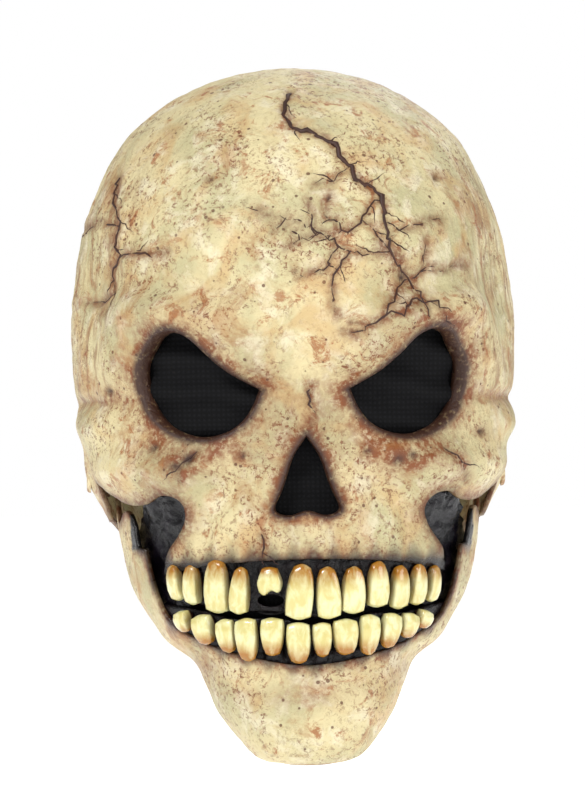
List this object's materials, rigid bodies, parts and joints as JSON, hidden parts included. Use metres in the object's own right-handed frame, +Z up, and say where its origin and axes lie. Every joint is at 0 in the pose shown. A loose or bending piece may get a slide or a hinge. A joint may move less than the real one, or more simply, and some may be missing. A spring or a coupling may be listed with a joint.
{
  "type": "over-the-head halloween mask",
  "caption": "Over-the-head latex skull mask with a cracked bone finish, deep eye sockets, separate teeth, hinged jaw, foam lining and a rear strap closure.",
  "frame": {"origin": "head seat: the centre of the crown pad's flat underside, where the top of the wearer's head rests", "axes": "+Z up through the crown, the face looks along -Y, +X is the wearer's left"},
  "size_m": [0.2062, 0.2497, 0.3182],
  "materials": {
    "bone_latex": "cast latex, airbrushed, semi-matt",
    "gum_latex": "cast latex, gloss black",
    "web_latex": "thin wrinkled latex, gloss black",
    "tooth": "cast latex, gloss varnish",
    "black_cloth": "fine see-through black mesh",
    "foam": "open-cell foam, matt",
    "rivet_nylon": "moulded nylon, painted over",
    "webbing": "woven nylon webbing",
    "hook_strip": "hook tape"
  },
  "bodies": {
    "skull": {"cheek_web_left": "web_latex", "cheek_web_right": "web_latex", "closure_anchor": "webbing", "closure_patch": "hook_strip", "crown_pad": "foam", "eye_mesh_left": "black_cloth", "eye_mesh_right": "black_cloth", "forehead_pad": "foam", "jaw_rivet_left": "rivet_nylon", "jaw_rivet_right": "rivet_nylon", "jaw_spacer_left": "rivet_nylon", "jaw_spacer_right": "rivet_nylon", "mouth_mesh": "black_cloth", "nose_mesh": "black_cloth", "rivet_cap_left": "rivet_nylon", "rivet_cap_right": "rivet_nylon", "side_pad_left": "foam", "side_pad_right": "foam", "skull_shell": "bone_latex", "upper_gum": "gum_latex", "upper_left_canine": "tooth", "upper_left_central_incisor": "tooth", "upper_left_first_molar": "tooth", "upper_left_lateral_incisor": "tooth", "upper_left_premolar": "tooth", "upper_left_second_molar": "tooth", "upper_right_broken_incisor": "tooth", "upper_right_central_incisor": "tooth", "upper_right_first_molar": "tooth", "upper_right_premolar": "tooth", "upper_right_second_molar": "tooth", "upper_right_third_molar": "tooth"},
    "jaw": {"jaw_shell": "bone_latex", "lower_gum": "gum_latex", "chin_pad": "foam", "lower_left_canine": "tooth", "lower_left_central_incisor": "tooth", "lower_left_first_molar": "tooth", "lower_left_lateral_incisor": "tooth", "lower_left_premolar": "tooth", "lower_left_second_molar": "tooth", "lower_right_central_incisor": "tooth", "lower_right_first_molar": "tooth", "lower_right_lateral_incisor": "tooth", "lower_right_premolar": "tooth", "lower_right_second_molar": "tooth", "lower_right_third_molar": "tooth"},
    "closure_tab": {"closure_tab": "webbing"}
  },
  "joints": [
    {"name": "jaw_swing", "type": "hinge", "parent": "skull", "child": "jaw", "pos_m": [0, 0, -0.164], "axis": [1, 0, 0], "range_deg": [0, 10], "stiffness_Nm_per_rad": 0.8, "springref_deg": -20.05, "deforming": ["cheek_web_left", "cheek_web_right"]},
    {"name": "closure_peel", "type": "hinge", "parent": "skull", "child": "closure_tab", "pos_m": [-0.0141, 0.1094, -0.187], "axis": [0, 0.39, 0.9208], "range_deg": [0, 120]}
  ]
}
